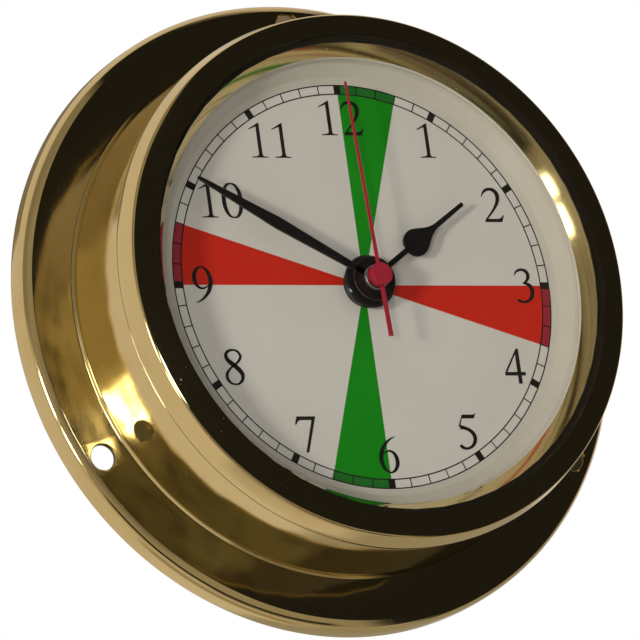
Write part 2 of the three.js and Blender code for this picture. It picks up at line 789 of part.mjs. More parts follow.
function statorScrew(name, place) {
  const head = coreHigh + stackGap;
  const shank = rod(screwRadius, plateBottom + stackGap, head);
  const body = shank.add(rod(screwHead, head, head + screwHeadHeight));
  return named(name, moved(body, place), steel);
}

const boardFace = boardLow + boardThickness + stackGap;

function circuitBoard() {
  const body = block(boardLeft, boardRight, boardBottom, boardTop, boardLow, boardLow + boardThickness);
  return named('circuit_board', body, greenBoard);
}

function quartzCrystal() {
  const can = new THREE.CylinderGeometry(crystalRadius, crystalRadius, crystalLength, shaftFacets);
  const place = [boardLeft + crystalLength, boardBottom + 3 * crystalRadius, boardFace + crystalRadius];
  return named('quartz_crystal', solidOf(can.rotateZ(Math.PI / 2).translate(...place)), steel);
}

function clockChip() {
  const top = boardFace + chipHeight;
  const chip = turned([[0, boardFace], [chipRadius, boardFace], [chipRadius * 0.8, top], [0, top]], 24);
  return named('clock_chip', moved(chip, [(boardLeft + boardRight) / 2, boardMiddle]), blackPlastic);
}

function turnedHand(name, solid, angle, material) {
  const mesh = named(name, solid, material);
  mesh.rotation.z = -degrees(angle);
  return mesh;
}

// Right side of a hand from hub to tip as a path, and the same side mirrored
function bladeShape(side) {
  const points = side.getPoints(5).map((point) => [point.x, point.y]);
  return flat([...points, ...points.map(([x, y]) => [-x, y]).reverse()]);
}

function hourHand() {
  const bore = neckBore;
  const side = new THREE.Path();
  side.moveTo(hourNeckHalf, bore + runGap);
  side.lineTo(hourNeckHalf, hourBulb - hourBulbHalf);
  const wide = hourBulbHalf;
  const taper = hourBulb + hourTaper;
  side.bezierCurveTo(wide * 0.7, hourBulb - wide, wide, hourBulb - wide / 2, wide, hourBulb);
  side.bezierCurveTo(wide, hourBulb + wide * 0.65, hourNeckHalf + 0.2, taper - wide, hourNeckHalf, taper);
  side.lineTo(0.2, hourLength);
  const domeLow = hourHandLow + hourHubHeight / 5;
  const dome = arc(bore, domeLow, hourHubRadius - bore, hourHandLow + hourHubHeight - domeLow, 0, 90, 4);
  const hub = turned([[bore, hourHandLow], [hourHubRadius, hourHandLow], ...dome], hubFacets);
  const body = plate(bladeShape(side), hourHandLow, hourHandLow + handThickness).add(hub);
  return turnedHand('hour_hand', body, hourAngle, handBlack);
}

function minuteHand() {
  const side = new THREE.Path();
  side.moveTo(minuteBellyHalf / 2, cannonRadius + runGap);
  side.lineTo(minuteBellyHalf, minuteBelly);
  side.lineTo(0.35, minuteLength);
  const high = minuteHandLow + handThickness;
  const hub = rod(minuteHubRadius, minuteHandLow, high, hubFacets);
  const body = plate(bladeShape(side), minuteHandLow, high).add(hub);
  return turnedHand('minute_hand', bored(body, [[0, 0]], cannonRadius), minuteAngle, handBlack);
}

function minuteNut() {
  const nut = tube(minuteNutRadius, cannonRadius + runGap, minuteNutLow, minuteNutTop, hubFacets);
  return named('minute_nut', nut, steel);
}

function secondHand() {
  const blade = flat([
    [-0.5, -secondTail],
    [0.5, -secondTail],
    [0.4, 0],
    [0.25, secondLength],
    [-0.25, secondLength],
    [-0.4, 0],
  ]);
  let body = plate(blade, secondHandLow, secondHandLow + secondThickness);
  body = body.add(rod(bossRadius, bossLow, bossLow + bossHeight, hubFacets));
  body = body.subtract(rod(secondArborRadius + runGap, bossLow - 1, secondHandLow + stackGap));
  return turnedHand('second_hand', body, secondAngle, handCrimson);
}

const clock = new THREE.Group();
clock.rotation.x = Math.PI / 2;
clock.add(
  caseBody(),
  bezelRing(),
  skirtSeal(),
  glassPane(),
  glassGasket(),
  glassRing(),
  dialPlate(),
  dialCarrier(),
  carrierSnapRing(),
  movementFrontCase(),
  movementRearCase(),
  movementWasher(),
  movementNut(),
  battery(),
  batteryContact('battery_contact_plus', 1, bayEnd),
  batteryContact('battery_contact_minus', -1, batteryLength / 2),
  gearPlate(),
  trainBridge(),
  rotor(),
  stepWheel(),
  secondWheel(),
  thirdWheel(),
  centreWheel(),
  cannonPinion(),
  minuteWheel(),
  hourWheel(),
  settingKnob(),
  stator(),
  coilCore(),
  coilBobbin(),
  coilWinding(),
  statorScrew('stator_screw_1', screwPlaces[0]),
  statorScrew('stator_screw_2', screwPlaces[1]),
  circuitBoard(),
  quartzCrystal(),
  clockChip(),
  hourHand(),
  minuteHand(),
  minuteNut(),
  secondHand(),
);

const group = new THREE.Group();
group.add(clock);

export default group;
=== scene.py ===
import math
import bmesh
import bpy
from mathutils import Matrix, Vector


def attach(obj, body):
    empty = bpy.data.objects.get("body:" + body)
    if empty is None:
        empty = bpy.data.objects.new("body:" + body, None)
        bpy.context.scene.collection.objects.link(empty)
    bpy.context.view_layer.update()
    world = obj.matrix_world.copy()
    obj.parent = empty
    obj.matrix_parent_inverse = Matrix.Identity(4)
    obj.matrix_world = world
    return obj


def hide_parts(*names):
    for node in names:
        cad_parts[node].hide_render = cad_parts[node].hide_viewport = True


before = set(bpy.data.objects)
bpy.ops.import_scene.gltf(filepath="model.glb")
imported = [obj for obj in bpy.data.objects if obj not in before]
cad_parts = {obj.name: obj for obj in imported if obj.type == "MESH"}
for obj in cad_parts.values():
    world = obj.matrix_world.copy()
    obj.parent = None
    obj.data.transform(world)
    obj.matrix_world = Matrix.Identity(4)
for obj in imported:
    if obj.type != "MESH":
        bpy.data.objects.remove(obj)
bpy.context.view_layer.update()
scene = bpy.context.scene
scene.view_settings.view_transform = "Standard"
print("frame loaded:", len(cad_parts), "parts")

mm = 0.001


# right, up and height in front of the wall, in millimetres, as a place in the frame
def spot(x, y, height):
    return Vector((x * mm, -height * mm, y * mm))


def clockPoint(radius, minutes, height):
    angle = math.radians(minutes * 6)
    return spot(radius * math.sin(angle), radius * math.cos(angle), height)


class Wire:  # an output socket, so that shader sums can be written as Python
    def __init__(self, graph, socket):
        self.graph = graph
        self.socket = socket

    def __add__(self, other):
        return self.graph.maths("ADD", self, other)

    def __radd__(self, other):
        return self.graph.maths("ADD", other, self)

    def __sub__(self, other):
        return self.graph.maths("SUBTRACT", self, other)

    def __rsub__(self, other):
        return self.graph.maths("SUBTRACT", other, self)

    def __mul__(self, other):
        return self.graph.maths("MULTIPLY", self, other)

    def __rmul__(self, other):
        return self.graph.maths("MULTIPLY", other, self)

    def __pow__(self, other):
        return self.graph.maths("POWER", self, other)


class Graph:  # the nodes of one material or world
    def __init__(self, tree):
        self.tree = tree
        tree.nodes.clear()

    def add(self, kind, settings=None, values=None, output=0):
        node = self.tree.nodes.new(kind)
        for name, setting in (settings or {}).items():
            setattr(node, name, setting)
        for name, value in (values or {}).items():
            if isinstance(value, Wire):
                self.tree.links.new(value.socket, node.inputs[name])
            else:
                node.inputs[name].default_value = value
        return Wire(self, node.outputs[output]) if len(node.outputs) else None

    def maths(self, operation, *values):
        return self.add("ShaderNodeMath", {"operation": operation}, dict(enumerate(values)))

    # the three parts of a vector
    def split(self, vector):
        whole = self.add("ShaderNodeSeparateXYZ", {}, {0: vector})
        return [Wire(self, socket) for socket in whole.socket.node.outputs]

    def mixColours(self, factor, first, second):
        values = {0: factor, 6: rgba(first), 7: rgba(second)}
        return self.add("ShaderNodeMix", {"data_type": "RGBA"}, values, 2)

    def vectorMaths(self, operation, *values):
        return self.add("ShaderNodeVectorMath", {"operation": operation}, dict(enumerate(values)))

    # from 0 below low to 1 above high
    def rise(self, value, low, high):
        values = {"Value": value, "From Min": low, "From Max": high}
        return self.add("ShaderNodeMapRange", {"interpolation_type": "SMOOTHSTEP"}, values)

    # 1 between low and high, with soft ends
    def band(self, value, low, high, soft):
        after = self.rise(value, high - soft, high + soft)
        return self.rise(value, low - soft, low + soft) * (1 - after)

    def noise(self, place, scale, detail=2.0, roughness=0.5):
        values = {"Vector": place, "Scale": scale, "Detail": detail, "Roughness": roughness}
        return self.add("ShaderNodeTexNoise", {}, values)

    def place(self):
        return self.add("ShaderNodeTexCoord", {}, {}, "Object")

    def bump(self, height, strength, distance, under=None):
        values = {"Height": height, "Strength": strength, "Distance": distance}
        if under is not None:
            values["Normal"] = under
        return self.add("ShaderNodeBump", {}, values)


def rgba(colour):
    return colour if isinstance(colour, Wire) else (*colour[:3], 1)


def makeMaterial(name, build):
    material = bpy.data.materials.new(name)
    material.use_nodes = True
    graph = Graph(material.node_tree)
    surface = build(graph)
    graph.add("ShaderNodeOutputMaterial", {}, {"Surface": surface})
    return material


def principled(graph, values):
    return graph.add("ShaderNodeBsdfPrincipled", {}, values)


# radius from the clock's axis and height along it, the same all round a turned part
def turnedPlace(graph, scale):
    across, along, up = graph.split(graph.place())
    radius = (across * across + up * up) ** 0.5
    return graph.add("ShaderNodeCombineXYZ", {}, {0: radius * scale, 1: along * scale})


brassLook = {
    "bright": (0.75, 0.60, 0.28),
    "tarnished": (0.66, 0.50, 0.21),
    "tarnishScale": 38,
    "tarnishEdge": (0.42, 0.78),
    "tarnishTint": 0.55,
    "smooth": 0.065,
    "dull": 0.13,
    "dust": (0.16, 0.12, 0.07),
    "dustScale": 1400,
    "dustEdge": (0.74, 0.8),
    "dustTint": 0.5,
    "dustDull": 0.25,
    "lineScale": 2600,
    "lineBump": 0.05,
    "lineDepth": 0.00002,
    "lineDull": 0.03,
    "waveScale": 95,
    "waveBump": 0.05,
    "waveDepth": 0.003,
}


def polishedBrass(look):
    def build(graph):
        turning = graph.noise(turnedPlace(graph, look["lineScale"]), 1.0, 3.0, 0.6)
        patches = graph.noise(graph.place(), look["tarnishScale"], 5.0, 0.62)
        tarnish = graph.rise(patches, *look["tarnishEdge"])
        specks = graph.noise(graph.place(), look["dustScale"], 1.0)
        dust = graph.rise(specks, *look["dustEdge"])
        colour = graph.mixColours(tarnish * look["tarnishTint"], look["bright"], look["tarnished"])
        colour = graph.mixColours(dust * look["dustTint"], colour, look["dust"])
        rough = (look["smooth"] + tarnish * (look["dull"] - look["smooth"])
                 + dust * look["dustDull"] + turning * look["lineDull"])
        waves = graph.noise(graph.place(), look["waveScale"], 1.0)
        lines = graph.bump(turning, look["lineBump"], look["lineDepth"])
        values = {"Base Color": colour, "Metallic": 1.0, "Roughness": rough,
                  "Normal": graph.bump(waves, look["waveBump"], look["waveDepth"], lines)}
        return principled(graph, values)
    return build


def brass(name, **changes):
    return makeMaterial(name, polishedBrass({**brassLook, **changes}))


caseBrass = brass("caseBrass")
frontBrass = brass("frontBrass", tarnishScale=46, smooth=0.06, waveBump=0.01)
coneBrass = brass("coneBrass", smooth=0.08, lineScale=4200, lineBump=0.08, waveBump=0.01)
innerBrass = brass("innerBrass", bright=(0.55, 0.38, 0.16), smooth=0.28, dull=0.5, lineBump=0.3)

satinLook = {
    "grainScale": 2600, "grainBump": 0.05, "grainDepth": 0.00002, "grainDull": 0.08,
    "cloudScale": 70, "cloudEdge": (0.35, 0.75), "coatRough": 0.07,
}


# two shades that drift into each other
def satinPaint(name, colour, shade, rough, coat=0.0, shine=0.5):
    def build(graph):
        grain = graph.noise(graph.place(), satinLook["grainScale"], 2.0)
        clouds = graph.noise(graph.place(), satinLook["cloudScale"], 3.0)
        tint = graph.mixColours(graph.rise(clouds, *satinLook["cloudEdge"]), colour, shade)
        values = {"Base Color": tint, "Roughness": rough + grain * satinLook["grainDull"],
                  "Coat Weight": coat, "Coat Roughness": satinLook["coatRough"],
                  "Specular IOR Level": shine,
                  "Normal": graph.bump(grain, satinLook["grainBump"], satinLook["grainDepth"])}
        return principled(graph, values)
    return makeMaterial(name, build)


# colour, shade and roughness of the dial and what is printed on it
printLook = {
    "paper": ((0.56, 0.525, 0.475), (0.545, 0.505, 0.452), 0.5),
    "margin": ((0.47, 0.43, 0.36), (0.43, 0.39, 0.32), 0.4),
    "black": ((0.012, 0.010, 0.008), (0.02, 0.017, 0.014), 0.45),
    "green": ((0.007, 0.205, 0.006), (0.009, 0.225, 0.008), 0.42),
    "greenTrack": ((0.014, 0.13, 0.018), (0.014, 0.14, 0.018), 0.42),
    "red": ((0.49, 0.018, 0.008), (0.52, 0.022, 0.010), 0.42),
    "redTrack": ((0.26, 0.022, 0.03), (0.28, 0.026, 0.034), 0.42),
    "inkShine": 0.1,
}
dialPaint = satinPaint("dialPaint", *printLook["paper"])
marginPaint = satinPaint("marginPaint", *printLook["margin"])
inkBlack = satinPaint("inkBlack", *printLook["black"], shine=0.2)
inkGreen = satinPaint("inkGreen", *printLook["green"], shine=printLook["inkShine"])
inkGreenTrack = satinPaint("inkGreenTrack", *printLook["greenTrack"], shine=printLook["inkShine"])
inkRed = satinPaint("inkRed", *printLook["red"], shine=printLook["inkShine"])
inkRedTrack = satinPaint("inkRedTrack", *printLook["redTrack"], shine=printLook["inkShine"])

handLook = {
    "black": ((0.008, 0.007, 0.006), (0.008, 0.007, 0.006), 0.30),
    "crimson": ((0.32, 0.009, 0.026), (0.35, 0.012, 0.03), 0.34),
}
handBlack = satinPaint("handBlack", *handLook["black"], coat=0.9, shine=0.2)
handCrimson = satinPaint("handCrimson", *handLook["crimson"])

metalLook = {
    "darkening": 0.8, "cloudScale": 240, "cloudEdge": (0.4, 0.8), "cloudDull": 0.1,
    "lineBump": 0.1, "lineDepth": 0.00002,
}


def platedMetal(name, colour, rough, lineScale=3000):
    def build(graph):
        turning = graph.noise(turnedPlace(graph, lineScale), 1.0)
        clouds = graph.noise(graph.place(), metalLook["cloudScale"], 3.0)
        darker = tuple(metalLook["darkening"] * value for value in colour)
        tint = graph.mixColours(graph.rise(clouds, *metalLook["cloudEdge"]), colour, darker)
        values = {"Base Color": tint, "Metallic": 1.0,
                  "Roughness": rough + clouds * metalLook["cloudDull"],
                  "Normal": graph.bump(turning, metalLook["lineBump"], metalLook["lineDepth"])}
        return principled(graph, values)
    return makeMaterial(name, build)


nutSteel = platedMetal("nutSteel", (0.88, 0.84, 0.78), 0.4)
plainSteel = platedMetal("plainSteel", (0.62, 0.62, 0.60), 0.3)
smallBrass = platedMetal("smallBrass", (0.72, 0.52, 0.25), 0.24)
copperWire = platedMetal("copperWire", (0.62, 0.26, 0.13), 0.3, lineScale=7000)

plasticLook = {
    "lightening": (1.25, 0.003), "cloudScale": 90, "cloudEdge": (0.35, 0.8),
    "grainDull": 0.15, "grainDepth": 0.00003,
}


def mouldedPlastic(name, colour, rough, grainScale=3200, grainBump=0.18):
    def build(graph):
        grain = graph.noise(graph.place(), grainScale, 2.0)
        clouds = graph.noise(graph.place(), plasticLook["cloudScale"], 3.0)
        gain, lift = plasticLook["lightening"]
        lighter = tuple(min(1.0, value * gain + lift) for value in colour)
        tint = graph.mixColours(graph.rise(clouds, *plasticLook["cloudEdge"]), colour, lighter)
        values = {"Base Color": tint, "Roughness": rough + grain * plasticLook["grainDull"],
                  "Normal": graph.bump(grain, grainBump, plasticLook["grainDepth"])}
        return principled(graph, values)
    return makeMaterial(name, build)


blackPlastic = mouldedPlastic("blackPlastic", (0.018, 0.018, 0.019), 0.42)
whitePlastic = mouldedPlastic("whitePlastic", (0.72, 0.69, 0.6), 0.38)
softRubber = mouldedPlastic("softRubber", (0.010, 0.006, 0.002), 0.65, 1800, 0.25)
boardGreen = mouldedPlastic("boardGreen", (0.035, 0.14, 0.06), 0.35)

jacketLook = {
    "blue": (0.035, 0.09, 0.22), "gold": (0.62, 0.47, 0.24), "goldFrom": (0.0148, 0.0150),
    "blueMetal": 0.35, "goldMetal": 0.65, "rough": 0.24, "cloudScale": 500, "cloudDull": 0.12,
}


# a blue jacket with a golden end
def jacketBuild(graph):
    across, _, _ = graph.split(graph.place())
    golden = graph.rise(across, *jacketLook["goldFrom"])
    clouds = graph.noise(graph.place(), jacketLook["cloudScale"], 2.0)
    colour = graph.mixColours(golden, jacketLook["blue"], jacketLook["gold"])
    metal = jacketLook["blueMetal"] + golden * (jacketLook["goldMetal"] - jacketLook["blueMetal"])
    values = {"Base Color": colour, "Metallic": metal,
              "Roughness": jacketLook["rough"] + clouds * jacketLook["cloudDull"]}
    return principled(graph, values)


batteryJacket = makeMaterial("batteryJacket", jacketBuild)

glassLook = {"tint": (0.985, 0.99, 0.985, 1), "ior": 1.5, "shine": 1.7, "mostShine": 0.3, "rough": 0.01}


# both faces mirror a little on the way in and nothing on the way out
def glassBuild(graph):
    leaving = graph.add("ShaderNodeNewGeometry", output="Backfacing")
    shine = graph.add("ShaderNodeFresnel", {}, {"IOR": glassLook["ior"]}) * glassLook["shine"]
    mirrored = graph.maths("MINIMUM", shine, glassLook["mostShine"]) * (1 - leaving)
    clear = graph.add("ShaderNodeBsdfTransparent", {}, {"Color": glassLook["tint"]})
    glossValues = {"Color": (1, 1, 1, 1), "Roughness": glassLook["rough"]}
    gloss = graph.add("ShaderNodeBsdfGlossy", {}, glossValues)
    return graph.add("ShaderNodeMixShader", {}, {0: mirrored, 1: clear, 2: gloss})


clearGlass = makeMaterial("clearGlass", glassBuild)
print("materials made")

# the CAD parts, by finish
partFinishes = (
    (caseBrass, ("case_body",)),
    (frontBrass, ("bezel_ring",)),
    (coneBrass, ("glass_ring",)),
    (clearGlass, ("glass",)),
    (dialPaint, ("dial",)),
    (handBlack, ("hour_hand", "minute_hand")),
    (handCrimson, ("second_hand",)),
    (nutSteel, ("minute_nut", "quartz_crystal")),
    (softRubber, ("glass_gasket", "skirt_seal", "movement_washer")),
    (smallBrass, ("movement_nut", "train_bridge", "cannon_pinion")),
    (batteryJacket, ("battery",)),
    (boardGreen, ("circuit_board",)),
    (copperWire, ("coil_winding",)),
    (blackPlastic, ("dial_carrier", "movement_front_case", "movement_rear_case", "gear_plate",
                    "clock_chip", "coil_bobbin")),
    (whitePlastic, ("step_wheel", "second_wheel", "third_wheel", "centre_wheel", "minute_wheel",
                    "hour_wheel", "setting_knob")),
    (plainSteel, ("carrier_snap_ring", "battery_contact_plus", "battery_contact_minus", "coil_core",
                  "stator", "stator_screw_1", "stator_screw_2", "rotor")),
)
for finish, nodeNames in partFinishes:
    for nodeName in nodeNames:
        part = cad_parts[nodeName]
        part.data.materials.clear()
        part.data.materials.append(finish)
print("parts finished:", len(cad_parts))

meshCare = {"mergeDistance": 0.000001, "sharpAngle": math.radians(32)}


def makeMesh(name, points, faces):
    mesh = bpy.data.meshes.new(name)
    mesh.from_pydata([tuple(point) for point in points], [], faces)
    return mesh


def cleanMesh(name, points, faces):
    mesh = makeMesh(name, points, faces)
    work = bmesh.new()
    work.from_mesh(mesh)
    bmesh.ops.remove_doubles(work, verts=work.verts, dist=meshCare["mergeDistance"])
    bmesh.ops.recalc_face_normals(work, faces=work.faces)
    work.to_mesh(mesh)
    work.free()
    return mesh


def softShade(mesh):
    mesh.shade_smooth()
    mesh.set_sharp_from_angle(angle=meshCare["sharpAngle"])


def addObject(name, data):
    thing = bpy.data.objects.new(name, data)
    scene.collection.objects.link(thing)
    return thing


def addPiece(name, points, faces, finish, body, replaced=()):
    mesh = cleanMesh(name, points, faces)
    softShade(mesh)
    mesh.materials.append(finish)
    piece = addObject(name, mesh)
    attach(piece, body)
    if replaced:
        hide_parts(*replaced)
    return piece


# (radius, height, rounding) corners to a smooth closed outline
def softCorners(corners, steps=6):
    outline = []
    count = len(corners)
    for i, (radius, height, rounding) in enumerate(corners):
        here = Vector((radius, height))
        if rounding <= 0:
            outline.append((radius, height))
            continue
        before = Vector(corners[i - 1][:2]) - here
        after = Vector(corners[(i + 1) % count][:2]) - here
        reach = min(rounding, before.length * 0.45, after.length * 0.45)
        start = here + before.normalized() * reach
        end = here + after.normalized() * reach
        for k in range(steps + 1):
            t = k / steps
            point = start * (1 - t) ** 2 + here * 2 * t * (1 - t) + end * t * t
            outline.append((point.x, point.y))
    return outline


# part of an ellipse, as corners without rounding
def bend(centreRadius, centreHeight, width, rise, start, end, steps):
    points = []
    for k in range(steps + 1):
        angle = math.radians(start + (end - start) * k / steps)
        across, along = width * math.cos(angle), rise * math.sin(angle)
        points.append((centreRadius + across, centreHeight + along, 0))
    return points


# an outline turned once round an axis
def spin(outline, steps=256, centre=(0, 0)):
    points, faces = [], []
    count = len(outline)
    for i in range(steps):
        angle = 2 * math.pi * i / steps
        for radius, height in outline:
            x, y = centre[0] + radius * math.cos(angle), centre[1] + radius * math.sin(angle)
            points.append(spot(x, y, height))
    for i in range(steps):
        for j in range(count):
            a, b = i * count + j, i * count + (j + 1) % count
            c, d = (i + 1) % steps * count + (j + 1) % count, (i + 1) % steps * count + j
            faces.append((a, b, c, d))
    return points, faces


# a base spun from sheet: flange, rounded rim and straight wall
caseShape = {
    "rimRadius": 63.5, "rimRound": 2.0, "wallRadius": 52.9, "wallTop": 25.6, "sheet": 1.0, "edge": 0.15,
    "flangeHeight": 5.7, "footFillet": 0.85, "footSpread": 0.6,
    "rimCorners": ((63.5, 1.2, 0.8), (63.4, 3.3, 0.9), (62.75, 4.72, 0.7), (61.5, 5.7, 0.06)),
    "screwRing": 58.5, "screwRadius": 2.5, "screwFlare": 0.4, "screwMinutes": (0.12, 20.12, 40.12),
}


def buildCase(shape):
    rim, top, rounding = shape["rimRadius"], shape["flangeHeight"], shape["rimRound"]
    wall, high, sheet = shape["wallRadius"], shape["wallTop"], shape["sheet"]
    foot, edge = shape["footFillet"], shape["edge"]
    corners = [(rim, 0, edge), *shape["rimCorners"], (wall + shape["footSpread"] * foot, top, edge),
               (wall, top + foot, 0.3), (wall, high, 0.2), (wall - sheet, high, 0.2),
               (wall - sheet, top + foot, 0.5), (wall, top - sheet, 0.5),
               (rim - rounding, top - sheet, 0.8), (rim - sheet, top - rounding, 0.8),
               (rim - sheet, 0, edge)]
    points, faces = spin(softCorners(corners))
    case = addPiece("spunCase", points, faces, caseBrass, "case", ["case_body"])
    case.data.materials.append(innerBrass)
    drillScrewHoles(case, shape)
    # the unpolished inside of the spun sheet
    for face in case.data.polygons:
        centre = face.center / mm
        radius, height = math.hypot(centre.x, centre.z), -centre.y
        inWall = radius < wall - sheet + 0.05
        underFlange = radius < rim - sheet + 0.1 and height < top - sheet + 0.05
        face.material_index = 1 if inWall or underFlange else 0


# straight holes with a small flare at the polished side
def drillScrewHoles(case, shape):
    narrow, wide = shape["screwRadius"], shape["screwRadius"] + shape["screwFlare"]
    top = shape["flangeHeight"]
    outline = softCorners([(0, -1, 0), (narrow, -1, 0), (narrow, top - 0.3, 0), (wide, top + 0.15, 0),
                           (wide, top + 2, 0), (0, top + 2, 0)])
    for minutes in shape["screwMinutes"]:
        middle = clockPoint(shape["screwRing"], minutes, 0) / mm
        points, faces = spin(outline, 48, (middle.x, middle.z))
        cutter = addObject("screwHoleCutter", cleanMesh("screwHoleCutter", points, faces))
        cut = case.modifiers.new("screwHole", "BOOLEAN")
        cut.operation = "DIFFERENCE"
        cut.solver = "EXACT"
        cut.object = cutter
        evaluated = case.evaluated_get(bpy.context.evaluated_depsgraph_get())
        drilled = bpy.data.meshes.new_from_object(evaluated)
        case.modifiers.clear()
        case.data = drilled
        bpy.data.objects.remove(cutter)
    softShade(case.data)


buildCase(caseShape)
print("case made")

# the turned front ring, with a skirt that stands in the case
frontShape = {
    "radius": 53.0, "seam": 25.85, "edge": 0.15,
    "shoulder": (53.0, 27.2, 1.6), "corner": (52.1, 31.0, 0.6), "face": (49.3, 32.16, 1.2),
    "top": (47.4, 32.86, 0.1), "lip": (48.5, 32.25, 0.1), "ceiling": (50.0, 31.15, 0.2),
    "cavity": 50.0, "snapTop": 21.1, "snapBottom": 19.8, "grooveDepth": 0.8,
    "skirt": 51.6, "skirtEnd": 12.05, "skirtEdge": 0.25, "sealLow": 15.5, "sealHigh": 16.9,
}


def buildFront(shape):
    cavity, skirt, deep = shape["cavity"], shape["skirt"], shape["grooveDepth"]
    snapTop, snapBottom = shape["snapTop"], shape["snapBottom"]
    sealLow, sealHigh = shape["sealLow"], shape["sealHigh"]
    end, edge = shape["skirtEnd"], shape["skirtEdge"]
    corners = [shape["lip"], shape["ceiling"], (cavity, snapTop, 0), (cavity + deep, snapTop, 0),
               (cavity + deep, snapBottom, 0), (cavity, snapBottom, 0), (cavity, end, edge),
               (skirt, end, edge), (skirt, sealLow, 0), (skirt - deep, sealLow, 0),
               (skirt - deep, sealHigh, 0), (skirt, sealHigh, 0), (skirt, shape["seam"], 0),
               (shape["radius"], shape["seam"], shape["edge"]),
               shape["shoulder"], shape["corner"], shape["face"], shape["top"]]
    points, faces = spin(softCorners(corners, 12))
    addPiece("frontRing", points, faces, frontBrass, "front", ["bezel_ring"])


buildFront(frontShape)

# the cone under the glass, and below it a pale margin that slopes down to the dial
coneShape = {
    "outerRadius": 46.8, "top": 31.0, "innerRadius": 44.2, "low": 27.4, "sheet": 0.6, "swell": 0.07,
    "swellSteps": 8, "stackRadius": 49.8, "foot": 23.25,
    "margin": ((43.9, 25.8, 0), (43.2, 24.7, 0), (42.2, 23.8, 0)), "marginFoot": 40.5,
}


def buildCone(shape):
    inner, outer, sheet = shape["innerRadius"], shape["outerRadius"], shape["sheet"]
    stack, low, top = shape["stackRadius"], shape["low"], shape["top"]
    foot, toe = shape["foot"], shape["marginFoot"]
    corners = [(outer + sheet / 2, top - sheet, 0.2), (stack - sheet, top - sheet, 0.2),
               (stack - sheet, foot, 0.1), (stack, foot, 0.1), (stack, top, 0.2), (outer, top, 0.12)]
    for k in range(1, shape["swellSteps"]):  # the cone swells a little towards the dial
        t = k / shape["swellSteps"]
        swell = shape["swell"] * 4 * t * (1 - t)
        corners.append((outer + (inner - outer) * t - swell, top + (low - top) * t + swell * 0.5, 0))
    corners += [(inner, low, 0.1), (inner + 0.1, low - 0.45, 0.1), *shape["margin"],
                (toe, foot, 0.05), (toe + 0.9, foot, 0.05), (inner + sheet, low - sheet, 0.1)]
    points, faces = spin(softCorners(corners))
    cone = addPiece("dialCone", points, faces, coneBrass, "front", ["glass_ring"])
    cone.data.materials.append(marginPaint)
    for face in cone.data.polygons:
        across, height = face.center.xz.length / mm, face.center.y / mm
        if height < low - 0.4 and across < inner + 0.3:
            face.material_index = 1


buildCone(coneShape)

glassShape = {"radius": 48.5, "low": 31.2, "high": 32.15, "lowBevel": 0.15, "highBevel": 0.2}


# flat glass with ground edges
def buildGlass(shape):
    radius, low, high = shape["radius"], shape["low"], shape["high"]
    under, over = shape["lowBevel"], shape["highBevel"]
    outline = softCorners([(0, low, 0), (radius - under, low, 0), (radius, low + under, 0),
                           (radius, high - over, 0), (radius - over, high, 0), (0, high, 0)])
    points, faces = spin(outline)
    addPiece("flatGlass", points, faces, clearGlass, "front", ["glass"])


buildGlass(glassShape)
print("front ring and cone made")

# the print on the dial, in thin layers above its face
printShape = {
    "face": 23.2, "sectorLift": 0.02, "inkLift": 0.035, "tickLift": 0.004, "digitLift": 0.003,
    "trackInner": 38.5, "trackOuter": 40.3, "lineWidth": 0.24, "lineSteps": 360,
    "tickWidth": 0.22, "blockWidth": 1.4, "sectorStart": 3.9, "sectorSteps": 24,
    "greenMinutes": ((0, 3), (30, 33)), "redMinutes": ((15, 18), (45, 48)),
}


def ringSector(inner, outer, startMinutes, endMinutes, height, steps):
    points, faces = [], []
    for k in range(steps + 1):
        minutes = startMinutes + (endMinutes - startMinutes) * k / steps
        points += [clockPoint(inner, minutes, height), clockPoint(outer, minutes, height)]
    for k in range(steps):
        faces.append((2 * k, 2 * k + 1, 2 * k + 3, 2 * k + 2))
    return points, faces


# a short printed bar across the track, square to it
def trackBar(minutes, width, inner, outer, height):
    angle = math.radians(minutes * 6)
    out = Vector((math.sin(angle), math.cos(angle)))
    side = Vector((math.cos(angle), -math.sin(angle)))
    points = []
    for radius, way in ((inner, -1), (inner, 1), (outer, 1), (outer, -1)):
        place = out * radius + side * way * width / 2
        points.append(spot(place.x, place.y, height))
    return points, [(0, 1, 2, 3)]


def joined(parts):
    points, faces = [], []
    for somePoints, someFaces in parts:
        start = len(points)
        points += somePoints
        faces += [tuple(start + index for index in face) for face in someFaces]
    return points, faces


def addPrint(name, parts, ink):
    points, faces = joined(parts)
    piece = addPiece(name, points, faces, ink, "front")
    # the printed side faces the reader
    for face in piece.data.polygons:
        if face.normal.y > 0:
            face.flip()


def buildTrack(shape):
    height = shape["face"] + shape["inkLift"]
    inner, outer, half = shape["trackInner"], shape["trackOuter"], shape["lineWidth"] / 2
    parts = []
    for radius in (inner, outer):
        parts.append(ringSector(radius - half, radius + half, 0, 60, height, shape["lineSteps"]))
    for minute in range(60):
        width = shape["blockWidth"] if minute % 5 == 0 else shape["tickWidth"]
        parts.append(trackBar(minute, width, inner, outer, height + shape["tickLift"]))
    addPrint("minuteTrack", parts, inkBlack)


def buildSectors(shape):
    height, steps = shape["face"] + shape["sectorLift"], shape["sectorSteps"]
    start, inner, outer = shape["sectorStart"], shape["trackInner"], shape["trackOuter"]
    for name, spans, ink, trackInk in (("green", shape["greenMinutes"], inkGreen, inkGreenTrack),
                                       ("red", shape["redMinutes"], inkRed, inkRedTrack)):
        wedges = [ringSector(start, inner, *span, height, steps) for span in spans]
        ends = [ringSector(inner, outer, *span, height, steps) for span in spans]
        addPrint(name + "Sectors", wedges, ink)
        addPrint(name + "TrackSectors", ends, trackInk)


buildTrack(printShape)
buildSectors(printShape)

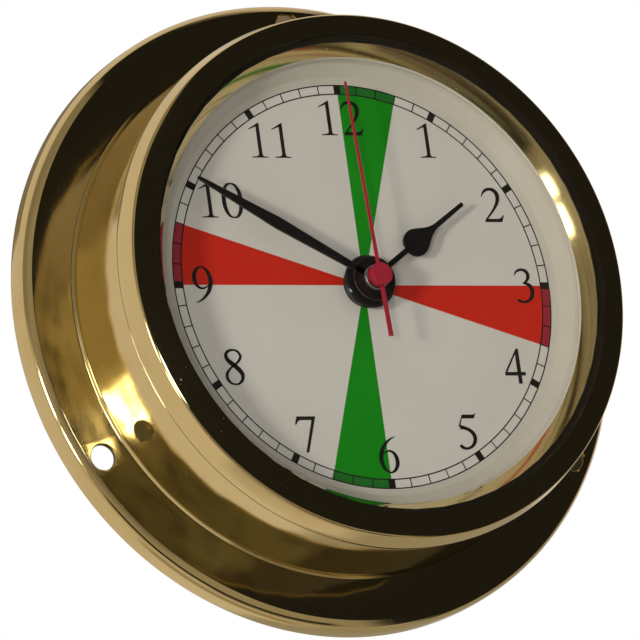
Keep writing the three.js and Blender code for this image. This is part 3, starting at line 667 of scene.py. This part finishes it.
# Numerals as pen strokes (x, y, pen width) and filled shapes (x, y), about the middle of each digit.
# Shapes lie a little above the strokes that they meet, unless the digit has a lift of its own.
digitShapes = {
    "0": {
        "strokes": [
            [(0.0, 3.4, 0.3), (-0.95, 3.0, 0.55), (-1.6, 1.7, 0.82), (-1.78, 0.0, 0.9), (-1.6, -1.7, 0.82),
             (-0.95, -3.0, 0.55), (0.0, -3.4, 0.3), (0.95, -3.0, 0.55), (1.6, -1.7, 0.82), (1.78, 0.0, 0.9),
             (1.6, 1.7, 0.82), (0.95, 3.0, 0.55), (0.0, 3.4, 0.3)]],
    },
    "1": {
        "strokes": [
            [(-1.55, 2.28, 0.18), (-0.8, 2.6, 0.28), (-0.05, 2.98, 0.4), (0.6, 3.42, 0.3)]],
        "shapes": [
            [(0.02, 2.9), (0.35, 3.2), (0.6, 3.58), (0.78, 3.58), (0.78, -2.7), (0.86, -3.02), (1.15, -3.2),
             (1.95, -3.25), (1.95, -3.45), (-1.5, -3.45), (-1.5, -3.25), (-0.6, -3.18), (-0.1, -3.02),
             (0.02, -2.7)]],
    },
    "2": {
        "strokes": [
            [(-1.98, 1.7, 0.12), (-1.72, 2.35, 0.34), (-1.1, 3.0, 0.55), (-0.15, 3.28, 0.62),
             (0.8, 3.05, 0.78), (1.42, 2.3, 0.9), (1.48, 1.3, 0.86), (1.1, 0.3, 0.68), (0.35, -0.8, 0.5),
             (-0.7, -2.0, 0.4), (-1.75, -3.1, 0.32)]],
        "shapes": [
            [(-2.05, -3.42), (1.85, -3.42), (2.42, -2.0), (2.2, -1.98), (1.85, -2.42), (1.4, -2.68),
             (0.8, -2.74), (-1.45, -2.74)]],
    },
    "3": {
        "strokes": [
            [(-1.78, 2.15, 0.14), (-1.45, 2.75, 0.34), (-0.8, 3.2, 0.5), (0.05, 3.32, 0.56),
             (0.85, 3.02, 0.74), (1.22, 2.3, 0.8), (1.05, 1.5, 0.7), (0.5, 0.88, 0.42), (-0.1, 0.58, 0.2)],
            [(-0.12, 0.62, 0.3), (0.6, 0.5, 0.6), (1.35, 0.05, 0.86), (1.72, -0.85, 0.95),
             (1.5, -1.95, 0.86), (0.85, -2.8, 0.62), (-0.15, -3.2, 0.5), (-0.95, -3.12, 0.56),
             (-1.5, -2.9, 0.62), (-1.78, -2.85, 0.4)]],
    },
    "4": {
        "lift": 0,
        "shapes": [
            [(0.95, 3.6), (1.45, 3.6), (1.45, -3.45), (0.62, -3.45), (0.62, 2.45)],
            [(-2.1, -1.2), (-1.55, -1.1), (0.62, 2.45), (0.95, 3.6)],
            [(-2.1, -1.82), (0.62, -1.82), (0.62, -1.1), (-1.55, -1.1), (-2.1, -1.2)],
            [(1.45, -1.82), (2.4, -1.82), (2.4, -1.1), (1.45, -1.1)]],
    },
    "5": {
        "strokes": [
            [(-1.32, 0.98, 0.9), (-0.5, 0.82, 0.72), (0.45, 0.45, 0.7), (1.25, -0.2, 0.82),
             (1.6, -1.1, 0.86), (1.4, -2.05, 0.76), (0.75, -2.85, 0.58), (-0.2, -3.28, 0.5),
             (-1.0, -3.2, 0.6), (-1.55, -2.88, 0.72), (-1.85, -2.62, 0.5)]],
        "shapes": [
            [(-0.62, 3.45), (1.9, 3.45), (2.15, 3.72), (2.35, 3.66), (1.95, 2.68), (-0.72, 2.68),
             (-1.18, 1.45), (-1.36, 1.05), (-1.74, 0.9)]],
    },
    "6": {
        "strokes": [
            [(2.0, 3.66, 0.12), (1.2, 3.42, 0.3), (0.3, 2.85, 0.46), (-0.65, 1.9, 0.66), (-1.3, 0.75, 0.84),
             (-1.6, -0.6, 0.92), (-1.35, -2.05, 0.8), (-0.75, -2.95, 0.5), (0.1, -3.36, 0.32),
             (1.0, -2.98, 0.56), (1.62, -2.05, 0.8), (1.78, -1.0, 0.86), (1.5, 0.1, 0.72),
             (0.85, 0.75, 0.5), (0.15, 0.88, 0.38), (-0.6, 0.62, 0.28), (-1.15, 0.2, 0.2)]],
    },
    "7": {
        "shapes": [
            [(-1.6, 3.55), (2.35, 3.55), (2.35, 3.3), (0.12, -3.55), (-0.48, -3.55), (1.5, 2.8),
             (-0.9, 2.8), (-1.4, 2.55), (-1.88, 1.85), (-2.1, 1.92)]],
    },
    "8": {
        "strokes": [
            [(0.25, 3.4, 0.4), (-0.75, 3.15, 0.55), (-1.35, 2.4, 0.7), (-1.1, 1.45, 0.86),
             (-0.2, 0.6, 0.98), (0.85, -0.3, 0.98), (1.62, -1.35, 0.88), (1.5, -2.5, 0.66),
             (0.75, -3.22, 0.42), (0.0, -3.38, 0.34), (-0.95, -3.12, 0.48), (-1.62, -2.2, 0.66),
             (-1.5, -1.2, 0.6), (-0.7, -0.25, 0.42), (0.35, 0.5, 0.4), (1.2, 1.2, 0.5), (1.68, 2.1, 0.58),
             (1.2, 3.05, 0.5), (0.25, 3.4, 0.4)]],
    },
    "9": {
        "strokes": [
            [(-2.0, -3.66, 0.12), (-1.2, -3.42, 0.3), (-0.3, -2.85, 0.46), (0.65, -1.9, 0.66),
             (1.3, -0.75, 0.84), (1.6, 0.6, 0.92), (1.35, 2.05, 0.8), (0.75, 2.95, 0.5), (-0.1, 3.36, 0.32),
             (-1.0, 2.98, 0.56), (-1.62, 2.05, 0.8), (-1.78, 1.0, 0.86), (-1.5, -0.1, 0.72),
             (-0.85, -0.75, 0.5), (-0.15, -0.88, 0.38), (0.6, -0.62, 0.28), (1.15, -0.2, 0.2)]],
    },
}
# the middle of each number, and its digits with their shifts to the right
numeralPlaces = {
    12: ((-0.1, 33.6), (("1", -2.95), ("2", 2.3))),
    1: ((17.7, 29.3), (("1", 0.0),)),
    2: ((30.2, 16.3), (("2", 0.1),)),
    3: ((34.8, -0.1), (("3", 0.0),)),
    4: ((30.0, -16.3), (("4", 0.0),)),
    5: ((17.7, -29.3), (("5", 0.0),)),
    6: ((0.0, -33.8), (("6", 0.05),)),
    7: ((-16.8, -29.5), (("7", 0.0),)),
    8: ((-30.2, -16.2), (("8", 0.05),)),
    9: ((-34.5, 0.2), (("9", 0.3),)),
    10: ((-28.1, 16.8), (("1", -2.9), ("0", 2.4))),
    11: ((-16.3, 28.9), (("1", -2.4), ("1", 2.55))),
}


# a smooth line through pen points, as a flat ribbon
def penStroke(pen, shiftX, shiftY, height, steps=7):
    track = []
    last = len(pen) - 1
    for i in range(last):
        p0, p1, p2, p3 = pen[max(i - 1, 0)], pen[i], pen[i + 1], pen[min(i + 2, last)]
        for k in range(steps if i < last - 1 else steps + 1):
            t = k / steps
            track.append([0.5 * (2 * b + (c - a) * t + (2 * a - 5 * b + 4 * c - d) * t * t
                                 + (3 * b - a - 3 * c + d) * t ** 3)
                          for a, b, c, d in zip(p0, p1, p2, p3)])
    points, faces = [], []
    for i, (x, y, width) in enumerate(track):
        before, after = track[max(i - 1, 0)], track[min(i + 1, len(track) - 1)]
        way = Vector((after[0] - before[0], after[1] - before[1])).normalized()
        for side in (-0.5 * width, 0.5 * width):
            points.append(spot(shiftX + x - way.y * side, shiftY + y + way.x * side, height))
    for i in range(len(track) - 1):
        faces.append((2 * i, 2 * i + 1, 2 * i + 3, 2 * i + 2))
    return points, faces


def buildNumerals(shape):
    height = shape["face"] + shape["inkLift"]
    parts = []
    for (middleX, middleY), digits in numeralPlaces.values():
        for digit, shift in digits:
            design, x = digitShapes[digit], middleX + shift
            shapeHeight = height + design.get("lift", shape["digitLift"])
            for pen in design.get("strokes", ()):
                parts.append(penStroke(pen, x, middleY, height))
            for outline in design.get("shapes", ()):
                points = [spot(x + a, middleY + b, shapeHeight) for a, b in outline]
                parts.append((points, [tuple(range(len(points)))]))
    addPrint("numerals", parts, inkBlack)


buildNumerals(printShape)
print("dial printed")

# all hands: angles from twelve, bore of the minute parts and the softened edge
handShape = {"hourAngle": 55, "minuteAngle": 299.95, "secondAngle": 357.5, "bore": 1.67, "softEdge": 0.08}


def turnHand(points, angle):
    turn = Matrix.Rotation(math.radians(angle), 4, "Y")
    return [turn @ point for point in points]


# a flat blade from its right side, with softened upper edges
def blade(side, low, high, soft):
    outline = list(side) + [(-x, y) for x, y in reversed(side)]
    count = len(outline)
    inner = []
    for i in range(count):
        here, after = Vector(outline[i]), Vector(outline[(i + 1) % count])
        way = (after - Vector(outline[i - 1])).normalized()
        inner.append((here.x - way.y * soft, here.y + way.x * soft))
    rings = [[(x, y, low) for x, y in outline], [(x, y, high - soft) for x, y in outline],
             [(x, y, high) for x, y in inner]]
    points = [spot(*place) for ring in rings for place in ring]
    faces = [tuple(reversed(range(count))), tuple(2 * count + i for i in range(count))]
    for start in (0, count):
        for i in range(count):
            j = (i + 1) % count
            faces.append((start + i, start + j, start + count + j, start + count + i))
    return points, faces


# from p0 to p3, pulled towards p1 and p2
def curve(p0, p1, p2, p3, steps=12):
    points = []
    for k in range(1, steps + 1):
        t, u = k / steps, 1 - k / steps
        points.append(tuple(a * u ** 3 + 3 * b * t * u ** 2 + 3 * c * t * t * u + d * t ** 3
                            for a, b, c, d in zip(p0, p1, p2, p3)))
    return points


# the rounded tip of a hand, on its right side
def roundEnd(half, tip, steps=6):
    end = []
    for k in range(steps):
        angle = math.radians(90 * k / steps)
        end.append((half * math.cos(angle), tip - half + half * math.sin(angle)))
    return end + [(half * 0.02, tip)]


hourShape = {
    "low": 25.4, "thickness": 0.4, "root": 3.0, "neck": 0.55, "bulb": 13.8, "bulbHalf": 2.75,
    "taper": 19.6, "endHalf": 0.42, "tip": 27.6,
    "hubBore": 2.8, "hubRadius": 5.3, "hubRise": 1.1, "hubFoot": 0.25, "domeWidth": 2.4, "domeFlat": 2.75,
}


def buildHourHand(shape):
    low, foot, dome = shape["low"], shape["hubFoot"], shape["domeWidth"]
    neck, bulb, wide, taper = shape["neck"], shape["bulb"], shape["bulbHalf"], shape["taper"]
    side = [(neck, shape["root"]), (neck, bulb - wide)]
    side += curve((neck, bulb - wide), (wide * 0.7, bulb - wide), (wide, bulb - wide / 2), (wide, bulb))
    side += curve((wide, bulb), (wide, bulb + wide * 0.65), (neck + 0.2, taper - wide), (neck, taper))
    side += roundEnd(shape["endHalf"], shape["tip"])
    hub = [(shape["hubBore"], low, 0), (shape["hubRadius"], low, 0.05)]
    hub += bend(shape["hubRadius"] - dome, low + foot, dome, shape["hubRise"] - foot, 0, 90, 16)
    hub += [(shape["domeFlat"], low + shape["hubRise"], 0)]
    hand = blade(side, low, low + shape["thickness"], handShape["softEdge"])
    points, faces = joined([hand, spin(softCorners(hub), 96)])
    addPiece("spadeHourHand", turnHand(points, handShape["hourAngle"]), faces, handBlack, "hour",
             ["hour_hand"])


minuteShape = {
    "low": 27.5, "thickness": 0.4, "hubRadius": 4.4, "root": 1.8, "belly": 22, "bellyHalf": 1.25,
    "endHalf": 0.36, "tip": 40,
}


def buildMinuteHand(shape):
    low, high, bore = shape["low"], shape["low"] + shape["thickness"], handShape["bore"]
    side = [(shape["bellyHalf"] / 2, shape["root"]), (shape["bellyHalf"], shape["belly"])]
    side += roundEnd(shape["endHalf"], shape["tip"])
    hub = softCorners([(bore, low, 0), (shape["hubRadius"], low, 0.05), (shape["hubRadius"], high, 0.12),
                       (bore, high, 0)])
    points, faces = joined([blade(side, low, high, handShape["softEdge"]), spin(hub, 96)])
    addPiece("lanceMinuteHand", turnHand(points, handShape["minuteAngle"]), faces, handBlack, "minute",
             ["minute_hand"])


secondShape = {
    "low": 30.0, "thickness": 0.25, "softEdge": 0.06, "tail": 12.2, "tailHalf": 0.5, "middleHalf": 0.4,
    "endHalf": 0.25, "tip": 38.8, "bossLow": 29.4, "bossRadius": 2.25, "bossRise": 1.7,
}


def buildSecondHand(shape):
    low, high, bossRadius = shape["low"], shape["low"] + shape["thickness"], shape["bossRadius"]
    bossLow, bossHigh = shape["bossLow"], shape["bossLow"] + shape["bossRise"]
    side = [(shape["tailHalf"], -shape["tail"]), (shape["middleHalf"], 0)]
    side += roundEnd(shape["endHalf"], shape["tip"])
    boss = softCorners([(0, bossLow, 0), (bossRadius, bossLow, 0.1), (bossRadius, bossHigh, 0.3),
                        (0, bossHigh, 0)])
    points, faces = joined([blade(side, low, high, shape["softEdge"]), spin(boss, 96)])
    addPiece("sweepSecondHand", turnHand(points, handShape["secondAngle"]), faces, handCrimson, "second",
             ["second_hand"])


# inner radius, outer radius, low, high, and the rounding of the outer foot, outer top and inner top
nutShapes = {
    "movement": (4.0, 4.55, 23.3, 24.45, 0.1, 0.25, 0.1),
    "hand": (handShape["bore"], 2.45, 28.0, 28.8, 0.05, 0.2, 0.1),
}


def buildNut(name, shape, finish, body, replaced):
    bore, radius, low, high, foot, top, mouth = shape
    nut = softCorners([(bore, low, 0), (radius, low, foot), (radius, high, top), (bore, high, mouth)])
    points, faces = spin(nut, 96)
    addPiece(name, points, faces, finish, body, [replaced])


# the round nut that holds the movement lies under the hands, and is black in the photograph
buildNut("movementRingNut", nutShapes["movement"], blackPlastic, "front", "movement_nut")
buildHourHand(hourShape)
buildMinuteHand(minuteShape)
buildSecondHand(secondShape)
buildNut("roundHandNut", nutShapes["hand"], nutSteel, "minute", "minute_nut")
print("hands made")

# floor and lamps
studio = {
    "floorDrop": 1.3, "floorSize": 4.0, "floorTints": ((0.80, 0.79, 0.77), (0.84, 0.83, 0.81)),
    "floorRough": 0.8, "ambient": 0.5, "lampDistance": 1.6, "lampColour": (1.0, 0.96, 0.9),
    # clock degrees, tilt, size and power
    "lamps": {"keyLamp": (264, 57, 0.22, 16.0), "fillLamp": (253, 37, 0.2, 6.5)},
}


# degrees clockwise from twelve as the clock's reader sees it, and degrees off the dial's axis
def direction(clock, tilt):
    c, t = math.radians(clock), math.radians(tilt)
    return Vector((math.sin(t) * math.sin(c), -math.cos(t), math.sin(t) * math.cos(c)))


def addLamp(name, clock, tilt, size, power):
    data = bpy.data.lights.new(name, "AREA")
    data.shape = "DISK"
    data.size = size
    data.energy = power
    data.color = studio["lampColour"]
    lamp = addObject(name, data)
    lamp.location = direction(clock, tilt) * studio["lampDistance"]
    lamp.rotation_mode = "QUATERNION"
    lamp.rotation_quaternion = (-lamp.location).to_track_quat("-Z", "Y")
    lamp.visible_glossy = False
    lamp.visible_camera = False


for lampName, lampPlace in studio["lamps"].items():
    addLamp(lampName, *lampPlace)


def floorBuild(graph):
    tint = graph.mixColours(graph.noise(graph.place(), 3, 2.0), *studio["floorTints"])
    return principled(graph, {"Base Color": tint, "Roughness": studio["floorRough"]})


def addFloor():
    half, drop = studio["floorSize"], -studio["floorDrop"]
    corners = [(-half, -half, drop), (half, -half, drop), (half, half, drop), (-half, half, drop)]
    mesh = makeMesh("paleFloor", corners, [(0, 1, 2, 3)])
    mesh.materials.append(makeMaterial("floorPaint", floorBuild))
    addObject("paleFloor", mesh)


addFloor()

# The room that the polished brass mirrors: dark in front of the clock, with a few brown and bright
# places, and pale beside and behind it. Only reflections see it. A place is its colour, then clock
# degrees from and to, tilt from and to, and softness.
roomLook = {
    "radius": 1.1, "rows": 40, "columns": 96,
    "dark": (0.016, 0.015, 0.014), "surroundings": (0.67, 0.60, 0.55), "paleFrom": (86, 97),
    "places": (
        ((0.34, 0.30, 0.25), (150, 345, 48, 90, 6)),
        ((0.24, 0.20, 0.14), (322, 400, 140, 165, 3)),
        ((0.36, 0.325, 0.27), (96, 168, 94, 165, 8)),
        ((0.66, 0.60, 0.53), (195, 300, 82.5, 90, 2)),
        ((0.26, 0.23, 0.19), (280, 345, 64, 94, 6)),
        ((0.36, 0.30, 0.24), (168, 216, 100, 120, 5)),
        ((0.03, 0.028, 0.02), (160, 232, 68, 83, 3)),
        ((14.0, 14.0, 13.5), (244, 252, 73, 80, 1.5)),
        ((16.0, 16.0, 15.5), (257, 268, 75, 83, 1.5)),
        ((0.016, 0.015, 0.014), (30, 140, 60, 104, 6)),
    ),
    "lamp": ((20.0, 21.0, 25.0), (243, 261, 29, 38, 1.5)),
    # seen only by way of a second mirror, between flange and case wall
    "deepPlaces": (
        ((0.06, 0.055, 0.05), (112, 172, 24, 40, 1.5)),
        ((0.15, 0.148, 0.12), (160, 238, 24, 40, 3)),
        ((0.30, 0.262, 0.22), (262, 384, 24, 40, 1.5)),
        ((0.42, 0.38, 0.30), (262, 318, 24, 42, 2)),
    ),
}


def roomBuild(graph):
    across, along, up = graph.split(graph.vectorMaths("NORMALIZE", graph.place()))
    tilt = graph.maths("ARCCOSINE", along * -1) * (180 / math.pi)
    turn = graph.maths("ARCTAN2", across, up) * (180 / math.pi)

    def region(clockStart, clockEnd, tiltStart, tiltEnd, soft):
        offset = graph.maths("MODULO", turn - clockStart + 720 + soft, 360.0) - soft
        sweep = graph.band(offset, 0.0, clockEnd - clockStart, soft)
        return sweep * graph.band(tilt, tiltStart, tiltEnd, soft)

    pale = graph.rise(tilt, *roomLook["paleFrom"])
    glow = graph.mixColours(pale, roomLook["dark"], roomLook["surroundings"])
    twice = graph.rise(graph.add("ShaderNodeLightPath", output="Glossy Depth"), 1.4, 1.6)
    for colour, place in roomLook["deepPlaces"]:
        glow = graph.mixColours(region(*place) * twice, glow, colour)
    for colour, place in roomLook["places"]:
        glow = graph.mixColours(region(*place), glow, colour)
    colour, place = roomLook["lamp"]  # but not in two mirrors under the glass
    glassed = graph.rise(graph.add("ShaderNodeLightPath", output="Transparent Depth"), 0.4, 0.6)
    glow = graph.mixColours(region(*place) * (1 - twice * glassed), glow, colour)
    return graph.add("ShaderNodeEmission", {}, {"Color": glow})


def addRoom():
    rows, columns = roomLook["rows"], roomLook["columns"]
    points = [direction(360 * j / columns, 180 * i / rows) * roomLook["radius"]
              for i in range(rows + 1) for j in range(columns)]
    faces = []
    for i in range(rows):
        for j in range(columns):
            a, b = i * columns + j, i * columns + (j + 1) % columns
            faces.append((a, b, b + columns, a + columns))
    mesh = makeMesh("darkRoom", points, faces)
    mesh.shade_smooth()
    mesh.materials.append(makeMaterial("darkRoomGlow", roomBuild))
    room = addObject("darkRoom", mesh)
    room.visible_camera = False
    room.visible_diffuse = False
    room.visible_transmission = False
    room.visible_volume_scatter = False
    room.visible_shadow = False


addRoom()

# tones that the glowing card emits: tan, painted shade (dark) and a painted reflection (mirrored)
backingGlowLook = {
    "height": 3.0, "inner": 54.2, "outer": 62.0, "tanFrom": (0.03, 0.04), "openBelow": (-0.03, -0.02),
    "tan": (0.17, 0.115, 0.06), "dark": (0.025, 0.02, 0.012), "mirrored": (0.10, 0.085, 0.05),
}


# a glowing card right behind the screw holes, no lamp: its emitted tones paint what the holes show, tan at
# twelve, painted shade at four, and at eight only a painted reflection in mirrors
def backingGlowBuild(graph):
    across, _, up = graph.split(graph.place())
    mirrored = graph.add("ShaderNodeLightPath", output="Is Glossy Ray")
    behind = graph.add("ShaderNodeNewGeometry", output="Backfacing")
    high = graph.rise(up, *backingGlowLook["tanFrom"])
    colour = graph.mixColours(high, backingGlowLook["dark"], backingGlowLook["tan"])
    colour = graph.mixColours(mirrored, colour, backingGlowLook["mirrored"])
    shown = graph.maths("MAXIMUM", mirrored, graph.rise(across, *backingGlowLook["openBelow"])) * (1 - behind)
    clear = graph.add("ShaderNodeBsdfTransparent")
    # the card glows with these tones of painted shade and painted reflection
    paper = graph.add("ShaderNodeEmission", {}, {"Color": colour})
    return graph.add("ShaderNodeMixShader", {}, {0: shown, 1: clear, 2: paper})


def addBackingGlow():
    points = [clockPoint(radius, minutes, backingGlowLook["height"])
              for radius in (backingGlowLook["inner"], backingGlowLook["outer"]) for minutes in range(60)]
    faces = [(k, (k + 1) % 60, 60 + (k + 1) % 60, 60 + k) for k in range(60)]
    mesh = makeMesh("backingGlowCard", points, faces)
    if mesh.polygons[0].normal.y > 0:
        mesh.flip_normals()
    mesh.materials.append(makeMaterial("backingPaintedLight", backingGlowBuild))
    backing = addObject("backingGlowCard", mesh)
    backing.visible_diffuse = False
    backing.visible_shadow = False


addBackingGlow()

# white wherever the camera or a mirror sees it, and weaker as light
world = bpy.data.worlds.new("paleWorld")
scene.world = world
world.use_nodes = True
worldGraph = Graph(world.node_tree)
seen = 0.0
for rayKind in ("Is Camera Ray", "Is Glossy Ray", "Is Transmission Ray"):
    seen = seen + worldGraph.add("ShaderNodeLightPath", output=rayKind)
seen = worldGraph.maths("MINIMUM", seen, 1.0)
strength = seen * (1 - studio["ambient"]) + studio["ambient"]
backdrop = worldGraph.add("ShaderNodeBackground", {}, {"Color": (1, 1, 1, 1), "Strength": strength})
worldGraph.add("ShaderNodeOutputWorld", {}, {"Surface": backdrop})

# the camera, fitted to circles of the clock in the photograph: its place and its three axes
cameraView = {
    "place": (-0.5651, -1.0601, -0.3216),
    "right": (0.89019, -0.43594, -0.13239),
    "up": (0.00008, -0.29043, 0.95689),
    "backward": (-0.4556, -0.85183, -0.25851),
    "lens": 360.24, "sensor": 36, "near": 0.05, "far": 50,
}
cameraData = bpy.data.cameras.new("photoCamera")
cameraData.lens = cameraView["lens"]
cameraData.sensor_width = cameraView["sensor"]
cameraData.clip_start = cameraView["near"]
cameraData.clip_end = cameraView["far"]
photoCamera = addObject("photoCamera", cameraData)
cameraColumns = [cameraView[key] for key in ("right", "up", "backward", "place")]
photoCamera.matrix_world = Matrix([*zip(*cameraColumns), (0, 0, 0, 1)])
scene.camera = photoCamera
print("studio made")
